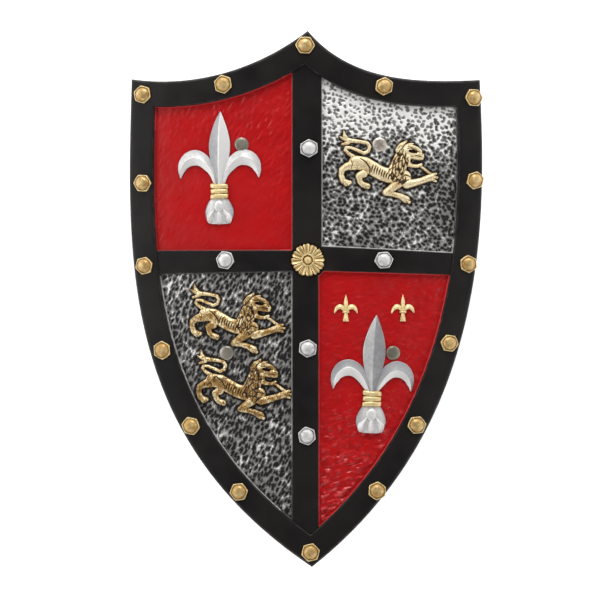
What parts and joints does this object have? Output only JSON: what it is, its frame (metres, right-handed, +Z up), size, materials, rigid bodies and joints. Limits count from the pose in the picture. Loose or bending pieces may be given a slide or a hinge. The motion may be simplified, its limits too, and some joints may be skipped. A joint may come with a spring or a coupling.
{
  "type": "heater shield",
  "caption": "Bent heater shield moulded in one, with a quartered face, lions and lilies in low relief, bolt heads round the rim and two riveted straps on its back.",
  "frame": {"origin": "under the middle of the shield's bounding box, on the plane it lies on", "axes": "+X to the right as the face is seen, +Y from the tip to the peak, +Z up, out of the face; it lies face up on the two side edges of its back, tipped about 2 degrees towards the tip"},
  "size_m": [0.3994, 0.6, 0.0592],
  "materials": {
    "black_paint": "satin black paint on moulded foam",
    "red_paint": "glossy red paint on hammered foam",
    "silver_paint": "silver paint brushed over black on hammered foam",
    "gold_paint": "gold paint brushed over black on raised work",
    "rivet_metal": "dull nickel plate",
    "webbing": "black woven band"
  },
  "bodies": {
    "root": {"moulded_board": "black_paint", "rivet_hand_left": "rivet_metal", "washer_hand_left": "rivet_metal", "rivet_hand_right": "rivet_metal", "washer_hand_right": "rivet_metal", "rivet_arm_left": "rivet_metal", "washer_arm_left": "rivet_metal", "rivet_arm_right": "rivet_metal", "washer_arm_right": "rivet_metal", "hand_strap": "webbing", "forearm_strap": "webbing"}
  },
  "joints": []
}
